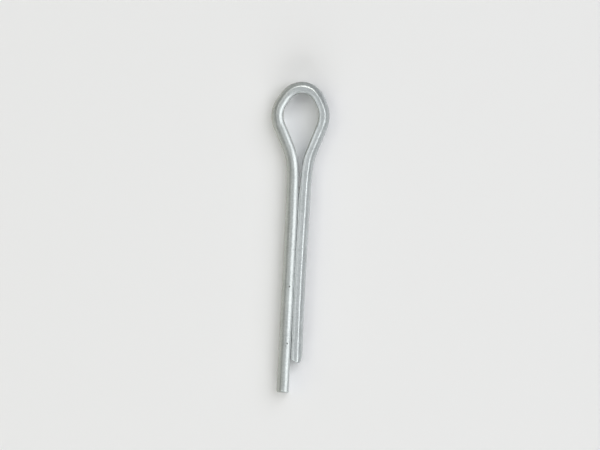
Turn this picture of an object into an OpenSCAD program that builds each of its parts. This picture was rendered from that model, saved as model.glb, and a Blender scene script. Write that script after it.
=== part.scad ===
// Split cotter pin with an extended prong.
// One length of half-round wire is bent back on itself, with its flat face inwards. The two legs
// lie flat to flat and make one round shank, and the bend between them is left open as an eye.
// The pin lies on its side: the shank runs along Y with the eye at +Y, the long leg is on the -X
// side, and the wire's flat face stands upright all the way round. The origin is on the shank's
// axis, where the straight shank ends and the eye begins.

/* [Shank] */
// Diameter of the closed shank, across both legs
shank_d = 2.26; // [1.6:0.02:3.2]
// Gap between the flat faces of the two legs
leg_gap = 0.09; // [0.02:0.01:0.3]
// Radius along the two edges of the wire's flat face
wire_edge_r = 0.13; // [0.05:0.01:0.25]
// How far the wire's two rounded edges stop short of the shank's circle
edge_in = 0.01; // [0.01:0.005:0.05]
// Length of the short leg, from the eye to its tip
short_leg = 17.68; // [8:0.05:60]
// How far the long leg's prong runs on past the short leg's tip
prong = 2.84; // [0.5:0.01:8]

/* [Crown of the eye] */
// Inside radius of the crown
crown_r = 1.26; // [0.8:0.01:2]
// How far the crown's middle stands off the shank's axis, towards the long leg
crown_shift = 0.13; // [0:0.01:0.3]

/* [Long leg's side of the eye] */
// Angle that the crown turns through on this side
long_crown_turn = 59; // [40:1:75]
// Length of the straight flank between crown and shoulder
long_flank = 0.58; // [0.1:0.01:2]
// Inside radius of the shoulder, where the eye is widest
long_shoulder_r = 1.92; // [1:0.01:4]
// Angle between the eye's tapering side and the shank
long_taper = 25.6; // [15:0.1:35]
// Radius of the neck, where the flat face turns down into the shank
long_neck_r = 5.8; // [3:0.1:8]

/* [Short leg's side of the eye] */
// Angle that the crown turns through on this side
short_crown_turn = 63.5; // [40:0.5:75]
// Length of the straight flank between crown and shoulder
short_flank = 0.5; // [0.1:0.01:2]
// Inside radius of the shoulder, where the eye is widest
short_shoulder_r = 2.12; // [1:0.01:4]
// Angle between the eye's tapering side and the shank
short_taper = 19.5; // [15:0.1:30]
// Radius of the neck, where the flat face turns down into the shank
short_neck_r = 6.1; // [3:0.1:8]

/* [Tips] */
// Length of the round point on the short leg
short_point = 0.7; // [0.2:0.05:2]
// How much smaller in radius the short leg's point ends
short_point_in = 0.16; // [0.05:0.01:0.5]
// Width of the bevel that crosses the flat side of the short leg's tip
short_bevel_w = 0.5; // [0.1:0.01:0.8]
// Height of that bevel
short_bevel_h = 0.24; // [0.05:0.01:1]
// Length of the broken edge on the long leg's square tip
long_point = 0.12; // [0.03:0.01:0.4]
// How much smaller in radius the broken edge ends
long_point_in = 0.07; // [0.02:0.01:0.3]

/* [Hidden] */
$fn = 96;

shank_r = shank_d / 2;
flat_x = leg_gap / 2;
// Shapes that clip the wire reach this far from its axis
clear = 2 * shank_r;
// Each straight stretch runs this far on into the bends at its ends, and the bends are this much
// fuller all round, so that every joint is a plain overlap and the whole wire is one solid
lap = 0.03;
full = 0.005;

// How far outwards and how far down the flat face runs, from the crown's middle to the end of
// the shoulder on one side of the eye
function shoulder_out(turn, flank, shoulder_r, taper) =
    crown_r * sin(turn) + flank * cos(turn) + shoulder_r * (cos(taper) - sin(turn));
function shoulder_down(turn, flank, shoulder_r, taper) =
    crown_r * (1 - cos(turn)) + flank * sin(turn) + shoulder_r * (cos(turn) + sin(taper));

// Length of the tapering side that brings the flat face in to the shank: how far it still stands
// out after the shoulder, less what the neck takes up
function side_length(out, taper, neck_r) =
    (out - flat_x - neck_r * (1 - cos(taper))) / sin(taper);

// Depth of the eye on one side, from the crown's flat face to the straight shank
function eye_depth(down, side_l, taper, neck_r) = down + side_l * cos(taper) + neck_r * sin(taper);

long_out = crown_shift
    + shoulder_out(long_crown_turn, long_flank, long_shoulder_r, long_taper);
long_down = shoulder_down(long_crown_turn, long_flank, long_shoulder_r, long_taper);
long_side_l = side_length(long_out, long_taper, long_neck_r);
long_depth = eye_depth(long_down, long_side_l, long_taper, long_neck_r);

short_out = -crown_shift
    + shoulder_out(short_crown_turn, short_flank, short_shoulder_r, short_taper);
short_down = shoulder_down(short_crown_turn, short_flank, short_shoulder_r, short_taper);
short_side_l = side_length(short_out, short_taper, short_neck_r);
short_depth = eye_depth(short_down, short_side_l, short_taper, short_neck_r);

// The deeper side sets the crown's height above the origin, and on the other side the straight
// leg starts a little way up
crown_y = max(long_depth, short_depth);
long_leg_l = short_leg + prong + crown_y - long_depth;
short_leg_l = short_leg + crown_y - short_depth;

// The wire's section: half of the shank's circle, with its flat face at x = flat_x and its two
// edges cut a little short and rounded. It is made larger all round by grow.
module wire_section(grow = 0) {
    half_h = shank_r - edge_in;
    edge_x = flat_x + wire_edge_r;
    edge_y = half_h - wire_edge_r;
    intersection() {
        circle(shank_r + grow);
        union() {
            translate([flat_x - grow, -edge_y]) square([clear, 2 * edge_y]);
            translate([edge_x, -half_h - grow]) square([clear, 2 * (half_h + grow)]);
            for (side = [0, 1]) mirror([0, side]) translate([edge_x, edge_y]) intersection() {
                circle(wire_edge_r + grow);
                translate([-clear, 0]) square(clear);
            }
        }
    }
}

// Each stretch of wire starts with its flat face at the local origin, facing -X, and runs down
// towards -Y. What follows it is carried on at its far end.
module straight(length) {
    translate([-flat_x, lap, 0]) rotate([90, 0, 0])
        linear_extrude(lap + length + lap) wire_section();
    translate([0, -length, 0]) children();
}

// A bend that closes in, around a centre on the flat face's side
module shoulder(r, turn) {
    translate([-r, 0, 0]) rotate([0, 0, -turn]) {
        rotate_extrude(angle = turn) translate([r - flat_x, 0]) wire_section(full);
        translate([r, 0, 0]) children();
    }
}

// A bend that swings back, around a centre on the round side
module neck(r, turn) {
    translate([r, 0, 0]) {
        rotate([0, 0, 180]) rotate_extrude(angle = turn)
            translate([r + flat_x, 0]) mirror([1, 0]) wire_section(full);
        rotate([0, 0, turn]) translate([-r, 0, 0]) children();
    }
}

// The top of the eye, a single bend that reaches down both sides of its middle
module crown() {
    translate([-crown_shift, crown_y - crown_r, 0]) rotate([0, 0, 90 - short_crown_turn])
        rotate_extrude(angle = short_crown_turn + long_crown_turn)
            translate([crown_r - flat_x, 0]) wire_section(full);
}

// One side of the eye, on +X, from the end of the crown's bend to the start of its leg. The
// local origin is the crown's centre.
module eye_side(turn, flank, shoulder_r, taper, side_l, neck_r) {
    rotate([0, 0, 90 - turn]) translate([crown_r, 0, 0])
        straight(flank) shoulder(shoulder_r, 90 + taper - turn)
            straight(side_l) neck(neck_r, taper) children();
}

// A straight leg whose end is drawn in to a point, about the shank's axis. What trims it is wider
// than the leg down to the point, and narrower from there.
module leg(length, point_l, point_in) {
    intersection() {
        straight(length);
        translate([-flat_x, 0, 0]) rotate([90, 0, 0]) rotate_extrude() polygon([
            [0, -clear],
            [clear, -clear],
            [clear, length - 2 * point_l],
            [shank_r + point_in, length - 2 * point_l],
            [shank_r - point_in, length],
            [0, length]
        ]);
    }
}

// What the bevel takes off the short leg's end, across its flat side: a wedge whose slope runs on
// past both the flat face and the end
module short_tip_bevel() {
    translate([-flat_x, -short_leg_l, -clear]) linear_extrude(2 * clear) polygon([
        [0, short_bevel_h * (1 + flat_x / short_bevel_w)],
        [flat_x + 2 * short_bevel_w, -short_bevel_h],
        [0, -short_bevel_h]
    ]);
}

module short_side() {
    translate([-crown_shift, crown_y - crown_r, 0])
        eye_side(short_crown_turn, short_flank, short_shoulder_r, short_taper, short_side_l,
            short_neck_r)
            difference() {
                leg(short_leg_l, short_point, short_point_in);
                short_tip_bevel();
            }
}

module long_side() {
    mirror([1, 0, 0]) translate([crown_shift, crown_y - crown_r, 0])
        eye_side(long_crown_turn, long_flank, long_shoulder_r, long_taper, long_side_l,
            long_neck_r)
            leg(long_leg_l, long_point, long_point_in);
}

module cotter_pin() {
    color([0.68, 0.70, 0.71]) {
        crown();
        short_side();
        long_side();
    }
}

cotter_pin();
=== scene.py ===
"""A split cotter pin with an extended prong: half-round zinc-plated wire, bent back on itself
and lying on its side. Lengths are in millimetres until the mesh is made, in the part's frame."""

import math

import bpy
import numpy as np
from mathutils import Matrix, Vector


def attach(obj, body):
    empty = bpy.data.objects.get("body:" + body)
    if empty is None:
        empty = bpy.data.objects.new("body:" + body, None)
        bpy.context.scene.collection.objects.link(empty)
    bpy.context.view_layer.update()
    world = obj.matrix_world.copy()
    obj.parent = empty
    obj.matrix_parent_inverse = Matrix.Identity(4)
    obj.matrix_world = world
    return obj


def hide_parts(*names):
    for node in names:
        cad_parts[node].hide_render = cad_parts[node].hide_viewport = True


MM = 0.001

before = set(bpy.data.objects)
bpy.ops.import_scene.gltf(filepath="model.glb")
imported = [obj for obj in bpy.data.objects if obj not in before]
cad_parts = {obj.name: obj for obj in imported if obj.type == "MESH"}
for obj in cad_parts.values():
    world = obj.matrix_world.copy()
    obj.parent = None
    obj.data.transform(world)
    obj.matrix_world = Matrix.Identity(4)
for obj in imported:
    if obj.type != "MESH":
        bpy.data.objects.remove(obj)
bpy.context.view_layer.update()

# ---------------------------------------------------------------- sizes

# The wire, as in the part's source but with a sharper edge
SHANK_R = 1.13
FLAT_X = 0.045
EDGE_R = 0.09
SHORT_LEG = 17.68
PRONG = 2.84
CROWN_R = 1.26
CROWN_SHIFT = 0.13
# (crown turn, flank, shoulder radius, taper, neck radius)
LONG_SIDE = (59.0, 0.58, 1.92, 25.6, 5.8)
SHORT_SIDE = (63.5, 0.50, 2.12, 19.5, 6.1)

# Places along the wire are distances from the crown's middle, below 0 towards the long leg.

# Where the bent wire stands off its arcs and straights, outwards from the pin's axis: softer necks,
# a slightly fuller crown and long side, and a short leg that bows in until it nearly touches the
# long one. Each is (middle, how far out, half its length, how flat its top is).
SET_OFF = (
    (-10.2, 0.040, 2.0, 2),
    (-7.9, 0.080, 1.05, 2),
    (-4.5, -0.060, 1.8, 2),
    (-4.4, 0.072, 2.9, 4),
    (0.0, 0.050, 0.8, 2),
    (7.95, 0.065, 1.0, 2),
    (18.8, -0.080, 6.5, 3),
)

# (place, how much further out the flat face is cut than a half circle's would be). The wire is
# thinner where it is bent round the eye to the short leg, and thicker where the legs meet.
FLAT_OUT = (
    (-13.2, -0.03),
    (-12.4, -0.036),
    (-11.3, -0.056),
    (-10.7, -0.043),
    (-10.1, -0.012),
    (-9.7, 0.0),
    (-3.0, 0.0),
    (-1.0, 0.04),
    (2.0, 0.09),
    (8.0, 0.09),
    (9.4, 0.061),
    (9.8, 0.045),
    (10.3, 0.0),
    (10.8, -0.028),
    (11.7, -0.012),
    (12.5, 0.0),
    (13.1, 0.01),
    (14.5, 0.022),
    (16.0, 0.03),
)

# (place, how far the flat face bulges in its middle): it is a little rounded along the eye's two
# sides. This share of the bulge stands inwards, and the rest is what the face's edges fall back.
BULGE = (
    (-7.6, 0.0),
    (-6.0, 0.055),
    (-3.0, 0.055),
    (-1.5, 0.0),
    (1.5, 0.0),
    (3.0, 0.1),
    (6.0, 0.1),
    (7.6, 0.0),
)
BULGE_IN = 0.7

# How far the tips' rims are rounded over, and on their flat sides this share as far
LONG_RIM, SHORT_RIM = 0.12, 0.14
LONG_RIM_FLAT, SHORT_RIM_FLAT = 0.7, 0.3
# The slanting cut across the short tip's outer side: its length, how far in it runs and how its
# slope grows, how soft its corner is, and how much lower the tip ends
POINT, POINT_IN, POINT_CURVE, TIP_SOFT, POINT_DOWN = 0.75, 0.2, 1.3, 0.03, 0.02
# The bevel across the short tip's flat side
BEVEL_W, BEVEL_H = 0.5, 0.31
# Burrs that the shears left on the upper side, by the long tip's rim: (x across the wire from the
# shank's axis, place, radius, height)
BURRS = ((0.70, -28.95, 0.08, 0.05),)

# ---------------------------------------------------------------- the wire's path

# The path's samples are this far apart and run on past both tips by so many of them. A bend in
# stiff wire has no sudden change of curvature, so its heading is smoothed over PATH_SMOOTH samples.
PATH_STEP = 0.01
PATH_SPARE = 100
PATH_SMOOTH = 41


def side_of_eye(side, out_from_axis):
    """(segments, depth): the stretches from the crown's middle to the leg, as (length, turn in
    degrees), and how far below the crown's flat face the straight leg starts."""
    turn, flank, shoulder_r, taper, neck_r = side
    a, b = math.radians(turn), math.radians(taper)
    out = (
        out_from_axis
        + CROWN_R * math.sin(a)
        + flank * math.cos(a)
        + shoulder_r * (math.cos(b) - math.sin(a))
    )
    down = (
        CROWN_R * (1 - math.cos(a))
        + flank * math.sin(a)
        + shoulder_r * (math.cos(a) + math.sin(b))
    )
    side_l = (out - FLAT_X - neck_r * (1 - math.cos(b))) / math.sin(b)
    shoulder_turn = 90 + taper - turn
    segments = [
        (CROWN_R * a, -turn),
        (flank, 0.0),
        (shoulder_r * math.radians(shoulder_turn), -shoulder_turn),
        (side_l, 0.0),
        (neck_r * b, taper),
    ]
    return segments, down + side_l * math.cos(b) + neck_r * math.sin(b)


def headings(segments):
    """Distances from the crown's middle at which the segments meet, and the heading there."""
    at, heading = [0.0], [90.0]
    for length, turn in segments:
        at.append(at[-1] + length)
        heading.append(heading[-1] + turn)
    return np.array(at), np.array(heading)


def eased(u):
    """From 0 to 1 as u goes from 0 to 1, starting and ending gently."""
    return np.clip(u, 0, 1) ** 2 * (3 - 2 * np.clip(u, 0, 1))


def running_sum(slope):
    """The integral of a slope that is given at the path's samples."""
    return np.concatenate([[0], np.cumsum((slope[1:] + slope[:-1]) / 2 * PATH_STEP)])


def wire_path():
    """Fine samples along the flat face, from the long leg's tip to the short one's: place,
    position x and y, and the angle of the outward normal. Then the two tips' places."""
    left, left_depth = side_of_eye(LONG_SIDE, CROWN_SHIFT)
    right, right_depth = side_of_eye(SHORT_SIDE, -CROWN_SHIFT)
    crown_y = max(left_depth, right_depth)
    left.append((SHORT_LEG + PRONG + crown_y - left_depth, 0.0))
    right.append((SHORT_LEG + crown_y - right_depth, 0.0))
    left_at, left_heading = headings(left)
    right_at, right_heading = headings(right)

    n_left = int(math.ceil(left_at[-1] / PATH_STEP))
    n_right = int(math.ceil(right_at[-1] / PATH_STEP))
    s = np.arange(-n_left - PATH_SPARE, n_right + PATH_SPARE + 1) * PATH_STEP
    heading = np.where(
        s < 0, 180 - np.interp(-s, left_at, left_heading), np.interp(s, right_at, right_heading)
    )
    kernel = np.hanning(PATH_SMOOTH + 2)[1:-1]
    kernel /= kernel.sum()
    heading = np.convolve(np.pad(heading, PATH_SMOOTH // 2, mode="edge"), kernel, mode="valid")
    normal = np.radians(heading)
    x, y = running_sum(np.sin(normal)), running_sum(-np.cos(normal))
    mid = int(np.argmin(np.abs(s)))
    x += -CROWN_SHIFT - x[mid]
    y += crown_y - y[mid]
    # the legs come out where the source has them: what the smoothing moved is spread over the eye
    off_right = FLAT_X - np.interp(right_at[-1], s, x)
    off_left = -FLAT_X - np.interp(-left_at[-1], s, x)
    x += np.where(s > 0, off_right * eased(s / right_at[-2]), off_left * eased(s / -left_at[-2]))
    off = sum(out * np.exp(-np.abs((s - at) / half) ** flat) for at, out, half, flat in SET_OFF)
    x, y = x + off * np.cos(normal), y + off * np.sin(normal)
    normal = np.unwrap(np.arctan2(np.gradient(y, s), np.gradient(x, s)) + math.pi / 2)
    return s, x, y, normal, -left_at[-1], right_at[-1]


# ---------------------------------------------------------------- the wire's section

# How many steps the round side, each rounded edge and the flat face have
ARC_N, EDGE_N, FLAT_N = 64, 10, 12
# A rounded edge takes no more than this share of the section's thickness
EDGE_SHARE = 0.45


def section(r, flat, bulge):
    """The D-section as points (x from the shank's axis, z), anticlockwise from the flat's middle
    down: a round side of radius r about the axis, a flat at x = flat that falls back by bulge
    towards two rounded edges."""
    edge_r = min(EDGE_R, EDGE_SHARE * (r - flat))
    lean = math.atan(2 * bulge / (r - edge_r))
    cx = flat + bulge + edge_r * math.cos(lean)
    cz = math.sqrt((r - edge_r) ** 2 - cx**2)
    limit = math.atan2(cz, cx)
    flat_z = cz + edge_r * math.sin(lean)
    half = FLAT_N // 2
    pts = []
    for i in range(half):
        pts.append((flat + bulge * (i / half) ** 2, -flat_z * i / half))
    for i in range(EDGE_N):
        a = math.pi + lean + (math.pi - lean - limit) * i / EDGE_N
        pts.append((cx + edge_r * math.cos(a), -cz + edge_r * math.sin(a)))
    for i in range(ARC_N):
        a = -limit + 2 * limit * i / ARC_N
        pts.append((r * math.cos(a), r * math.sin(a)))
    for i in range(EDGE_N):
        a = limit + (math.pi - lean - limit) * i / EDGE_N
        pts.append((cx + edge_r * math.cos(a), cz + edge_r * math.sin(a)))
    for i in range(half):
        up = 1 - i / half
        pts.append((flat + bulge * up**2, flat_z * up))
    return np.array(pts)


# ---------------------------------------------------------------- the wire's rings

# Rings of points are this far apart along the wire, and closer in these lengths of the two tips
RING_STEP, TIP_STEP = 0.07, 0.03
LONG_TIP, SHORT_TIP = 0.5, 1.0
# The rings on a rim: so many steps on the long tip, and so many degrees each on the short one
RIM_STEPS, RIM_DEGREES = 8, 10
# The rings before the short tip's rim end this far short of it
NEARLY = 0.001
# How far in from the rim the rings on the two end faces lie
LONG_END_RINGS = (0.45, 0.33, 0.22)
SHORT_END_RINGS = (0.05, 0.11)
# Added to a point's distance from a burr where the point is on the wire's under side
OUT_OF_REACH = 9


def wire_rings():
    """The wire's skin as rings of points, from the long tip to the short one, and where each
    point is in the wire's own terms: x across it from the shank's axis, z, and place along it."""
    s, x, y, normal, long_end, short_end = wire_path()
    cut_at, cut_out = zip(*FLAT_OUT)
    bulge_at, bulge_out = zip(*BULGE)
    rings, where = [], []

    def ring(at, r=SHANK_R, flat=FLAT_X, widest=None):
        """Adds the ring at a place. Where widest is given, the section is softly cut off there."""
        bulge = np.interp(at, bulge_at, bulge_out)
        cut = np.interp(at, cut_at, cut_out) - BULGE_IN * bulge
        sec = section(r, flat + cut, bulge)
        if widest is not None:
            over = (sec[:, 0] - widest) / TIP_SOFT
            sec[:, 0] = widest + TIP_SOFT * (over - np.logaddexp(0, over))
        for burr_x, burr_at, wide, high in BURRS:
            apart = np.hypot(sec[:, 0] - burr_x, at - burr_at) + OUT_OF_REACH * (sec[:, 1] < 0)
            sec *= 1 + high / SHANK_R * np.exp(-((apart / wide) ** 2))[:, None]
        px, py, a = (np.interp(at, s, along) for along in (x, y, normal))
        out = sec[:, 0] - FLAT_X
        rings.append(np.column_stack([px + out * np.cos(a), py + out * np.sin(a), sec[:, 1]]))
        where.append(np.column_stack([sec[:, 0] - cut, sec[:, 1], np.full(len(sec), at)]))

    # long tip: sheared square, with its rim rounded over
    for d in LONG_END_RINGS:
        ring(long_end, SHANK_R - d, FLAT_X + d)
    for i in range(RIM_STEPS + 1):
        a = math.radians(90 * (1 - i / RIM_STEPS))
        d = LONG_RIM * (1 - math.cos(a))
        ring(long_end + LONG_RIM * (1 - math.sin(a)), SHANK_R - d, FLAT_X + d * LONG_RIM_FLAT)
    for at in np.arange(long_end + LONG_RIM + TIP_STEP, long_end + LONG_TIP, TIP_STEP):
        ring(at)
    for at in np.arange(long_end + LONG_TIP, short_end - SHORT_TIP, RING_STEP):
        ring(at)

    # short tip: cut slanting across its outer side, and bevelled across its flat side
    rim_start = short_end - SHORT_RIM
    tip = list(np.arange(short_end - SHORT_TIP, rim_start - NEARLY, TIP_STEP))
    for a in range(0, 91, RIM_DEGREES):
        tip.append(short_end - SHORT_RIM * (1 - math.sin(math.radians(a))))
    for at in tip:
        # u goes from 0 to 1 down the slanting cut, which comes in from just outside the wire over
        # its first third
        u = max(0.0, (at - (short_end - POINT)) / POINT)
        outside = 3 * TIP_SOFT * (1 - min(1.0, 3 * u))
        widest = SHANK_R + outside - POINT_IN * u**POINT_CURVE
        flat = FLAT_X + BEVEL_W * max(0.0, (at - (short_end - BEVEL_H)) / BEVEL_H)
        over = max(0.0, (at - rim_start) / SHORT_RIM)
        d = SHORT_RIM * (1 - math.sqrt(max(0.0, 1 - over**2)))
        r, flat, widest = SHANK_R - POINT_DOWN * u**2 - d, flat + SHORT_RIM_FLAT * d, widest - d
        ring(at, r, flat, widest if u > 0 else None)
    # the end face, inside the last of those rings
    for d in SHORT_END_RINGS:
        ring(short_end, r - d, flat + d, widest - d)
    return np.array(rings), np.array(where)


# ---------------------------------------------------------------- the wire's mesh

# The unrolled wire is folded into this many strips, this far apart
STRIPS, STRIP_GAP = 3, 0.3


def running_length(steps):
    """Distances from the first point, by the steps between the points."""
    return np.concatenate([[0], np.cumsum(steps)])


def unroll(mesh, rings):
    """Lays the wire's skin out flat, in strips side by side, with the two end faces beside them."""
    n, m = rings.shape[:2]
    one_ring = rings[n // 4][list(range(m)) + [0]]
    round_it = running_length(np.linalg.norm(np.diff(one_ring, axis=0), axis=1))
    down_it = running_length(np.linalg.norm(np.diff(rings, axis=0), axis=2).mean(axis=1))
    strip = np.minimum((down_it[:-1] / down_it[-1] * STRIPS).astype(int), STRIPS - 1)
    starts = np.array([down_it[np.argmax(strip == q)] for q in range(STRIPS)])
    width = round_it[-1]
    across = STRIP_GAP + strip * (width + STRIP_GAP)
    uv = np.zeros((n - 1, m, 4, 2))
    for corner, (ring_on, point_on) in enumerate(((0, 0), (1, 0), (1, 1), (0, 1))):
        along = down_it[ring_on : n - 1 + ring_on] - starts[strip]
        uv[:, :, corner, 0] = across[:, None] + round_it[None, point_on : m + point_on]
        uv[:, :, corner, 1] = STRIP_GAP + along[:, None]
    ends = []
    for which, order in ((0, range(m)), (n - 1, range(m - 1, -1, -1))):
        face = rings[which][list(order)]
        middle = face.mean(axis=0)
        out = np.linalg.norm(face[:, :2] - middle[:2], axis=1) * np.sign(face[:, 0] - middle[0])
        ends.append(np.column_stack([out, face[:, 2]]))
    left = STRIP_GAP + STRIPS * (width + STRIP_GAP)
    low = STRIP_GAP
    for end in ends:
        end += (left, low) - end.min(axis=0)
        low = end[:, 1].max() + STRIP_GAP
    flat_uv = np.concatenate([uv.reshape(-1, 2)] + ends)
    layer = mesh.uv_layers.new(name="OFBake")
    layer.data.foreach_set("uv", (flat_uv / (flat_uv.max() + STRIP_GAP)).ravel())


def make_wire():
    """The wire as one closed mesh. Its attribute "wire" tells the material where a point is."""
    rings, where = wire_rings()
    n, m = rings.shape[:2]
    i = np.arange(n - 1)[:, None] * m
    j = np.arange(m)[None, :]
    k = (j + 1) % m
    quads = np.stack([i + j, i + m + j, i + m + k, i + k], axis=-1).reshape(-1, 4)
    faces = quads.tolist()
    faces.append(list(range(m)))
    faces.append([(n - 1) * m + q for q in range(m - 1, -1, -1)])
    mesh = bpy.data.meshes.new("cotter_wire")
    mesh.from_pydata((rings.reshape(-1, 3) * MM).tolist(), [], faces)
    unroll(mesh, rings)
    for p in mesh.polygons:
        p.use_smooth = True
    attribute = mesh.attributes.new("wire", "FLOAT_VECTOR", "POINT")
    attribute.data.foreach_set("vector", where.ravel())
    obj = bpy.data.objects.new("cotter_wire", mesh)
    bpy.context.collection.objects.link(obj)
    return obj


# ---------------------------------------------------------------- nodes


class Nodes:
    """Short ways to add nodes to a tree. A value is a number, a tuple or another node's socket."""

    def __init__(self, tree):
        self.tree = tree

    def add(self, kind, value=None, **settings):
        """A new node, with value, if there is one, in its first input."""
        node = self.tree.nodes.new(kind)
        for name, setting in settings.items():
            setattr(node, name, setting)
        if value is not None:
            self.put(node.inputs[0], value)
        return node

    def put(self, socket, value):
        if isinstance(value, bpy.types.NodeSocket):
            self.tree.links.new(value, socket)
        else:
            socket.default_value = value

    def math(self, op, *values):
        node = self.add("ShaderNodeMath", operation=op)
        for socket, value in zip(node.inputs, values):
            self.put(socket, value)
        return node.outputs[0]

    def vary(self, value, by, around=0.0):
        """around, give or take half of by, as value goes from 0 to 1. around can be a socket."""
        return self.math("MULTIPLY_ADD", self.math("SUBTRACT", value, 0.5), by, around)

    def ranged(self, value, low, high, to_low=0.0, to_high=1.0, steps="SMOOTHSTEP"):
        node = self.add("ShaderNodeMapRange", value, interpolation_type=steps)
        for name, number in (
            ("From Min", low),
            ("From Max", high),
            ("To Min", to_low),
            ("To Max", to_high),
        ):
            self.put(node.inputs[name], number)
        return node.outputs["Result"]

    def ramp(self, value, stops):
        """A colour ramp with these (position, colour) stops."""
        node = self.add("ShaderNodeValToRGB", value)
        elements = node.color_ramp.elements
        while len(elements) < len(stops):
            elements.new(0.5)
        for element, (position, colour) in zip(elements, stops):
            element.position = position
            element.color = (*colour, 1)
        return node.outputs[0]

    def split(self, vector):
        return self.add("ShaderNodeSeparateXYZ", vector).outputs

    def mix_colours(self, share, first, second, blend="MIX"):
        """second's share of the mix is share. A colour is a socket or three numbers."""
        node = self.add("ShaderNodeMix", share, data_type="RGBA", blend_type=blend)
        for socket, colour in ((6, first), (7, second)):
            self.put(node.inputs[socket], (*colour, 1) if isinstance(colour, tuple) else colour)
        return node.outputs[2]

    def mix_numbers(self, share, first, second):
        node = self.add("ShaderNodeMix", share)
        self.put(node.inputs["A"], first)
        self.put(node.inputs["B"], second)
        return node.outputs["Result"]


def new_material(name):
    """(material, its nodes, its shader's inputs)"""
    material = bpy.data.materials.new(name)
    material.use_nodes = True
    tree = material.node_tree
    return material, Nodes(tree), tree.nodes["Principled BSDF"].inputs


# ---------------------------------------------------------------- the zinc

# The plating's colour, and the part of it that mirrors like metal
ZINC = (0.59, 0.632, 0.637)
METALLIC = 0.57
# Its colour on the flat faces, and the painted shade on their upper edge round the eye
FLAT_FACE = (0.84, 0.86, 0.86)
EYE_EDGE_PAINTED_SHADE = (0.4, 0.42, 0.41)
# (tone, level of the plating's colour)
TONES = ((0.3, 0.74), (0.5, 1.0), (0.7, 1.22))
# How much of the tone comes from each noise
MOTTLE_TONE, PATCHES_TONE, LINES_TONE = 0.5, 0.25, 0.25
ROUGHNESS, ROUGH_DENTS, ROUGH_LINES, ROUGH_SPECK = 0.2, 0.12, 0.1, 0.3
# Heights in mm: the dents are taller where the crown was bent
MOTTLE_HIGH, LINES_HIGH, SPECK_DEEP = 0.001, 0.0004, 0.01
DENTS_HIGH = (0.001, 0.024)
# Small dark specks in the plating: (x across the wire from the shank's axis, z, place along it,
# radius)
SPECKS = (
    (0.45, 1.05, -19.22, 0.11),
    (0.39, 1.07, -24.54, 0.09),
    (0.84, 0.79, -21.34, 0.08),
)
SPECK_COLOUR = (0.1, 0.1, 0.095)
# A speck is full out to this share of its radius
SPECK_FULL = 0.4

# Where a mask starts and where it is full. The flat side of the section, in x and in z:
FLAT_SIDE_X = (FLAT_X + 0.13, FLAT_X + 0.105)
FLAT_SIDE_Z = (1.06, 1.0)
# the flat faces that meet in the shank, by distance from the crown's middle, and by place at the
# end of the long leg, which is bare:
INSIDE_SHANK = (6.8, 9.6)
LONG_LEG_END = (-26.4, -25.4)
# the flat face's upper edge round the eye, where shade is painted, by distance from the crown's
# middle
# and by z, and how much weaker it is at the crown:
ROUND_EYE = (6.8, 6.0)
UPPER_EDGE_Z = (0.45, 0.7)
OFF_CROWN, AT_CROWN = (1.6, 2.8), 0.6
# the crown's bend, by distance from its middle place:
BEND_MIDDLE = 0.8
BEND = (5.0, 2.2)
# and the short leg, which is smoother: this share of the mottle's and the lines' height is left
ON_SHORT_LEG, SHORT_LEG_UNEVEN = (6.0, 9.0), 0.45


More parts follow.
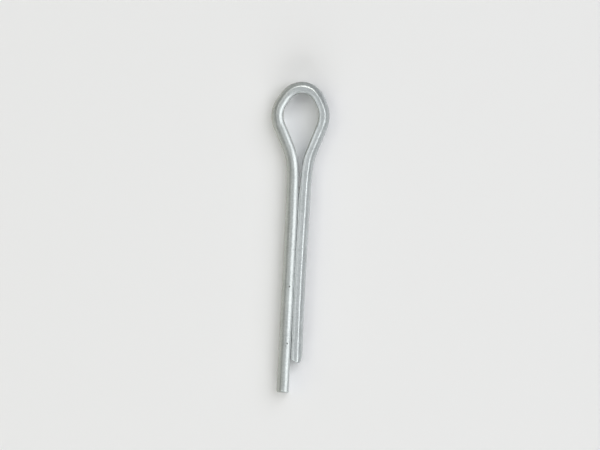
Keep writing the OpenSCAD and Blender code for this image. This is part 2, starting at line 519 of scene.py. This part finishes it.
def zinc():
    """Bright zinc plate on drawn steel wire: cool grey, finely mottled, with faint lines along the
    wire, and a little uneven where the crown was bent. The flat faces, which nothing rubs, shine
    more. A painted shade darkens the flat faces' upper edge round the eye, less at the crown."""
    material, nodes, bsdf = new_material("zinc_steel")
    math_node, ranged, vary = nodes.math, nodes.ranged, nodes.vary
    wire_at = nodes.add("ShaderNodeAttribute", attribute_name="wire").outputs["Vector"]
    across, up, along = nodes.split(wire_at)
    from_crown = math_node("ABSOLUTE", along)

    def noise(size, stretch=1.0, detail=2.0, seed=0.0):
        """Noise of about this grain size in mm, drawn out along the wire by stretch. Each seed
        takes it from a place of its own."""
        place = nodes.add("ShaderNodeMapping", wire_at)
        place.inputs["Scale"].default_value = (1 / size, 1 / size, 1 / (size * stretch))
        place.inputs["Location"].default_value = (seed, seed * 1.7, seed * 2.3)
        texture = nodes.add("ShaderNodeTexNoise", place.outputs[0])
        texture.inputs["Scale"].default_value = 1
        texture.inputs["Detail"].default_value = detail
        return texture.outputs["Fac"]

    mottle = noise(size=0.16)
    patches = noise(size=1.1, stretch=1.6, detail=1.0, seed=3.1)
    lines = noise(size=0.09, stretch=28, seed=7.7)
    dents = noise(size=0.5, stretch=1.3, detail=1.0, seed=11.3)

    flat_side = math_node(
        "MULTIPLY",
        ranged(across, *FLAT_SIDE_X),
        ranged(math_node("ABSOLUTE", up), *FLAT_SIDE_Z),
    )
    inner = math_node("MULTIPLY", flat_side, ranged(from_crown, *INSIDE_SHANK))
    inner = math_node("MULTIPLY", inner, ranged(along, *LONG_LEG_END))
    # painted shade: a dark band along the upper edge of the flat face round the eye, weaker at the
    # crown
    painted_shade = math_node("MULTIPLY", ranged(from_crown, *ROUND_EYE), ranged(up, *UPPER_EDGE_Z))
    painted_shade = math_node("MULTIPLY", painted_shade, ranged(from_crown, *OFF_CROWN, AT_CROWN, 1.0))
    painted_shade = math_node("MULTIPLY", flat_side, painted_shade)
    bend = ranged(math_node("ABSOLUTE", math_node("SUBTRACT", along, BEND_MIDDLE)), *BEND)
    uneven = ranged(along, *ON_SHORT_LEG, 1.0, SHORT_LEG_UNEVEN)
    speck = 0.0
    for x, z, at, radius in SPECKS:
        apart = nodes.add("ShaderNodeVectorMath", wire_at, operation="DISTANCE")
        apart.inputs[1].default_value = (x, z, at)
        this_one = ranged(apart.outputs["Value"], radius, radius * SPECK_FULL)
        speck = math_node("MAXIMUM", this_one, speck)

    # tone: 0 is the darkest zinc and 1 the lightest
    tone = math_node(
        "MULTIPLY_ADD", mottle, MOTTLE_TONE, math_node("MULTIPLY", patches, PATCHES_TONE)
    )
    tone = math_node("MULTIPLY_ADD", lines, LINES_TONE, tone)
    stops = [(low, tuple(c * level for c in ZINC)) for low, level in TONES]
    colour = nodes.mix_colours(speck, nodes.ramp(tone, stops), SPECK_COLOUR)
    colour = nodes.mix_colours(inner, colour, FLAT_FACE)
    # the painted shade darkens the base colour on that band
    nodes.put(bsdf["Base Color"], nodes.mix_colours(painted_shade, colour, EYE_EDGE_PAINTED_SHADE))
    nodes.put(bsdf["Metallic"], ranged(inner, 0, 1, METALLIC, 1.0))
    rough = vary(lines, ROUGH_LINES, vary(dents, ROUGH_DENTS, ROUGHNESS))
    nodes.put(bsdf["Roughness"], math_node("MULTIPLY_ADD", speck, ROUGH_SPECK, rough))

    height = vary(lines, LINES_HIGH, vary(mottle, MOTTLE_HIGH))
    height = math_node("MULTIPLY", height, uneven)
    height = vary(dents, ranged(bend, 0, 1, *DENTS_HIGH), height)
    height = math_node("MULTIPLY_ADD", speck, -SPECK_DEEP, height)
    bump = nodes.add("ShaderNodeBump")
    bump.inputs["Distance"].default_value = MM
    nodes.put(bump.inputs["Height"], height)
    nodes.put(bsdf["Normal"], bump.outputs[0])
    return material


wire = make_wire()
wire.data.materials.append(zinc())
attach(wire, "root")
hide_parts("cotter_pin")

# ---------------------------------------------------------------- the floor

# Half of the floor's width, in metres
FLOOR_HALF = 0.8
FLOOR_COLOUR = (0.84, 0.84, 0.84)
# (x in mm, how much of each colour of it the metal mirrors): a painted reflection, darker towards
# the left, standing in for the floor's shade and the board's dark grid lines
FLOOR_REFLECTION_PAINT = (
    (-20, (0.31, 0.29, 0.25)),
    (-9, (0.38, 0.355, 0.31)),
    (-4.5, (0.7, 0.66, 0.58)),
    (0, (0.72, 0.72, 0.68)),
    (2.2, (0.92, 0.92, 0.92)),
    (4.2, (0.72, 0.72, 0.72)),
    (8, (0.5, 0.5, 0.5)),
    (20, (0.5, 0.5, 0.5)),
)
# Beyond the crown this share of it, from the first of these y in mm to the second: the painted
# reflection darkened further for the board's dark grid line there
REFLECTION_PAINT_BEYOND = 0.5
BEYOND_CROWN = (8.2, 10.5)


def floor_board():
    """Plain and pale. In the metal's reflections its colour is painted darker, and darker still
    well to the left and beyond the crown, standing in for the floor's shade and the board's dark
    grid lines.
    """
    material, nodes, bsdf = new_material("floor_white")
    bsdf["Roughness"].default_value = 0.9
    bsdf["Specular IOR Level"].default_value = 0.2
    x, y, _ = nodes.split(nodes.add("ShaderNodeTexCoord").outputs["Object"])
    first, last = FLOOR_REFLECTION_PAINT[0][0], FLOOR_REFLECTION_PAINT[-1][0]
    stops = [((at - first) / (last - first), colour) for at, colour in FLOOR_REFLECTION_PAINT]
    across = nodes.ramp(nodes.ranged(x, first * MM, last * MM, steps="LINEAR"), stops)
    near, far = BEYOND_CROWN
    beyond = nodes.ranged(y, near * MM, far * MM, 1, REFLECTION_PAINT_BEYOND, steps="LINEAR")
    dimmed = nodes.add("ShaderNodeVectorMath", across, operation="SCALE")
    nodes.put(dimmed.inputs["Scale"], beyond)
    # painted reflection: the colour that the metal's rays see in place of the floor's own
    painted_reflection = nodes.mix_colours(1, dimmed.outputs[0], FLOOR_COLOUR, "MULTIPLY")
    is_mirrored = nodes.add("ShaderNodeLightPath").outputs["Is Glossy Ray"]
    nodes.put(bsdf["Base Color"], nodes.mix_colours(is_mirrored, FLOOR_COLOUR, painted_reflection))
    return material


low_z = min(v.co.z for v in wire.data.vertices)
floor_mesh = bpy.data.meshes.new("floor")
floor_mesh.from_pydata(
    [(sx * FLOOR_HALF, sy * FLOOR_HALF, low_z) for sx, sy in ((-1, -1), (1, -1), (1, 1), (-1, 1))],
    [],
    [(0, 1, 2, 3)],
)
floor = bpy.data.objects.new("floor", floor_mesh)
bpy.context.collection.objects.link(floor)
floor_mesh.materials.append(floor_board())

# ---------------------------------------------------------------- light and camera

# The camera is turned by the angle that the pin leans at in its frame
LEAN = math.radians(2.914)
# The photograph's width in pixels, what a pixel spans in mm, and the place at its middle
PHOTO_WIDTH = 600
PX = 1 / 10.681
CENTRE = Vector((0.268, -4.784, 0)) * MM


def direction(azimuth, polar):
    """Unit vector towards a place in the room: azimuth is anticlockwise from the picture's right,
    and polar is from straight overhead, both in degrees."""
    a, p = math.radians(azimuth) + LEAN, math.radians(polar)
    return Vector((math.sin(p) * math.cos(a), math.sin(p) * math.sin(a), math.cos(p)))


def lamp(name, azimuth, polar, across, along, radiance, distance=0.6, colour=(1, 1, 1)):
    """A soft box that faces the pin from so many metres away. across and along are its angular
    sizes, in degrees, in the polar direction and at right angles to it."""
    data = bpy.data.lights.new(name, "AREA")
    data.shape = "RECTANGLE"
    data.size = 2 * distance * math.tan(math.radians(across / 2))
    data.size_y = 2 * distance * math.tan(math.radians(along / 2))
    data.energy = radiance * math.pi * data.size * data.size_y
    data.color = colour
    obj = bpy.data.objects.new(name, data)
    z = direction(azimuth, polar)
    up = Vector((0, 0, 1))
    across_axis = (z * z.dot(up) - up).normalized()
    along_axis = z.cross(across_axis)
    turned = Matrix((across_axis, along_axis, z)).transposed().to_4x4()
    obj.matrix_world = Matrix.Translation(z * distance + CENTRE) @ turned
    bpy.context.collection.objects.link(obj)
    obj.visible_camera = False
    return obj


# The polar angle of the horizon
HORIZON = 90
# Light from all round that the floor gets, and how bright the room is that the metal mirrors
FLOOR_LIGHT, ROOM_LIGHT = 0.24, 0.53
# (polar angle, level) of the room that the metal mirrors
ROOM_BY_POLAR = ((0, 0.3), (10, 0.45), (20, 0.78), (30, 1.0), (78, 1.0), (90, 0.6))
# Low down, by azimuth: how bright the line is, at which polar angle, and how dark the wall is
WALL_BY_AZIMUTH = (
    (-90, 0.5, 74, 0.0),
    (-40, 0.6, 74, 0.0),
    (-22, 0.75, 74, 0.0),
    (-6, 1.1, 76, 0.0),
    (7, 1.0, 76, 0.0),
    (24, 0.75, 72, 0.15),
    (42, 0.8, 72, 0.3),
    (60, 1.8, 78, 0.4),
    (85, 1.6, 80, 0.35),
    (105, 0.65, 80, 0.3),
    (132, 0.45, 76, 0.4),
    (150, 0.5, 75, 0.55),
    (172, 0.36, 75, 0.68),
    (182, 0.0, 75, 0.68),
    (215, 0.0, 75, 0.68),
    (250, 0.2, 75, 0.2),
    (270, 0.5, 74, 0.0),
)
# How far from the line's middle its light starts to fade, and ends
LINE_HALF = (1.8, 5.0)
LINE_LIGHT = 5.0
# The wall gets darker between these polar angles, and takes this colour
SHADE_POLAR = (62, 82)
WALL_TINT = (1.0, 0.94, 0.78)
# (azimuth, polar angle, half width, light) of the lamps that light the floor
FLOOR_LAMPS = ((36, 31, 30, 2.4), (180, 46, 24, 0.25))
# The same for two lamps that only the metal mirrors, in the legs' tips and the crown's left half
MIRRORED_LAMPS = ((-95, 54, 13, 3.0), (118, 40, 12, 0.3))
# How soft such a lamp's rim is, as a cosine
LAMP_SOFT = 0.03


def make_world():
    """The room: even light on the floor, and for the metal to mirror a room that is darker
    overhead and low down on the left, with a bright line low down all round but on the left, and
    a few lamps."""
    world = bpy.data.worlds.new("world")
    bpy.context.scene.world = world
    world.use_nodes = True
    # found by the metal's own rays alone, so that each kind of ray meets the light meant for it
    world.cycles.sampling_method = "NONE"
    nodes = Nodes(world.node_tree)
    math_node, ranged = nodes.math, nodes.ranged
    background = world.node_tree.nodes["Background"].inputs
    ray_direction = nodes.add("ShaderNodeTexCoord").outputs["Generated"]
    x, y, z = nodes.split(ray_direction)
    polar = math_node("MULTIPLY", math_node("ARCCOSINE", z), 180 / math.pi)

    # from 0 to 1 round the room, starting a quarter turn clockwise from the picture's right: the
    # whole turn that is added keeps it above 0
    turns = math_node("MULTIPLY", math_node("ARCTAN2", y, x), 0.5 / math.pi)
    round_room = math_node("FRACT", math_node("ADD", turns, 0.25 + 1 - LEAN / (2 * math.pi)))
    stops = [
        ((azimuth + 90) / 360, (line, line_at / HORIZON, shade))
        for azimuth, line, line_at, shade in WALL_BY_AZIMUTH
    ]
    line, line_at, shade = nodes.split(nodes.ramp(round_room, stops))
    stops = [(angle / HORIZON, (level,) * 3) for angle, level in ROOM_BY_POLAR]
    level = nodes.ramp(math_node("DIVIDE", polar, HORIZON), stops)
    dark_wall = math_node("MULTIPLY", ranged(polar, *SHADE_POLAR), shade)
    level = math_node("MULTIPLY", level, math_node("SUBTRACT", 1.0, dark_wall))
    off_line = math_node("SUBTRACT", polar, math_node("MULTIPLY", line_at, HORIZON))
    off_line = ranged(math_node("ABSOLUTE", off_line), *LINE_HALF)
    band = math_node("MULTIPLY", math_node("SUBTRACT", 1.0, off_line), line)
    room = math_node("ADD", level, math_node("MULTIPLY", band, LINE_LIGHT))
    room = math_node("MULTIPLY", room, ROOM_LIGHT)

    def with_lamps(light, lamps):
        for azimuth, polar_angle, half, radiance in lamps:
            towards = nodes.add("ShaderNodeVectorMath", ray_direction, operation="DOT_PRODUCT")
            towards.inputs[1].default_value = direction(azimuth, polar_angle)
            rim = math.cos(math.radians(half))
            inside = ranged(towards.outputs["Value"], rim - LAMP_SOFT, rim + LAMP_SOFT)
            light = math_node("ADD", light, math_node("MULTIPLY", inside, radiance))
        return light

    room = with_lamps(room, MIRRORED_LAMPS)
    rays = nodes.add("ShaderNodeLightPath").outputs
    # a ray that has left the floor and then met the metal finds the floor's own lamps
    onto_floor = nodes.mix_numbers(
        rays["Is Diffuse Ray"], with_lamps(FLOOR_LIGHT, FLOOR_LAMPS), FLOOR_LIGHT
    )
    light = nodes.mix_numbers(rays["Diffuse Depth"], room, onto_floor)
    nodes.put(background["Strength"], light)
    nodes.put(background["Color"], nodes.mix_colours(dark_wall, (1, 1, 1), WALL_TINT))


make_world()
# three boxes that the metal mirrors, and three lamps that only light the floor
lamp("left_box", 167, 28, 27, 36, 1.42)
lamp("right_box", 33, 28, 14, 28, 0.56)
lamp("right_box_low", -27, 30, 11, 20, 0.95)
lamp("floor_key", 34, 31, 56, 56, 1.62, colour=(0.99, 1, 1.04)).visible_glossy = False
lamp("floor_low", -90, 66, 30, 50, 2.7).visible_glossy = False
lamp("floor_fill", 180, 46, 36, 60, 0.5, colour=(1, 1, 0.65)).visible_glossy = False

CAMERA_HEIGHT = 0.5
SENSOR_WIDTH = 36
cam_data = bpy.data.cameras.new("camera")
cam = bpy.data.objects.new("camera", cam_data)
bpy.context.collection.objects.link(cam)
cam_data.sensor_width = SENSOR_WIDTH
cam_data.lens = SENSOR_WIDTH * CAMERA_HEIGHT / (PHOTO_WIDTH * PX * MM)
cam_data.clip_start, cam_data.clip_end = 0.01, 10
above = Matrix.Translation(CENTRE + Vector((0, 0, CAMERA_HEIGHT)))
cam.matrix_world = above @ Matrix.Rotation(LEAN, 4, "Z")
bpy.context.scene.camera = cam

bpy.context.scene.view_settings.view_transform = "Standard"
# light goes down between the legs by bouncing off them, which this filter would stop
bpy.context.scene.cycles.blur_glossy = 0
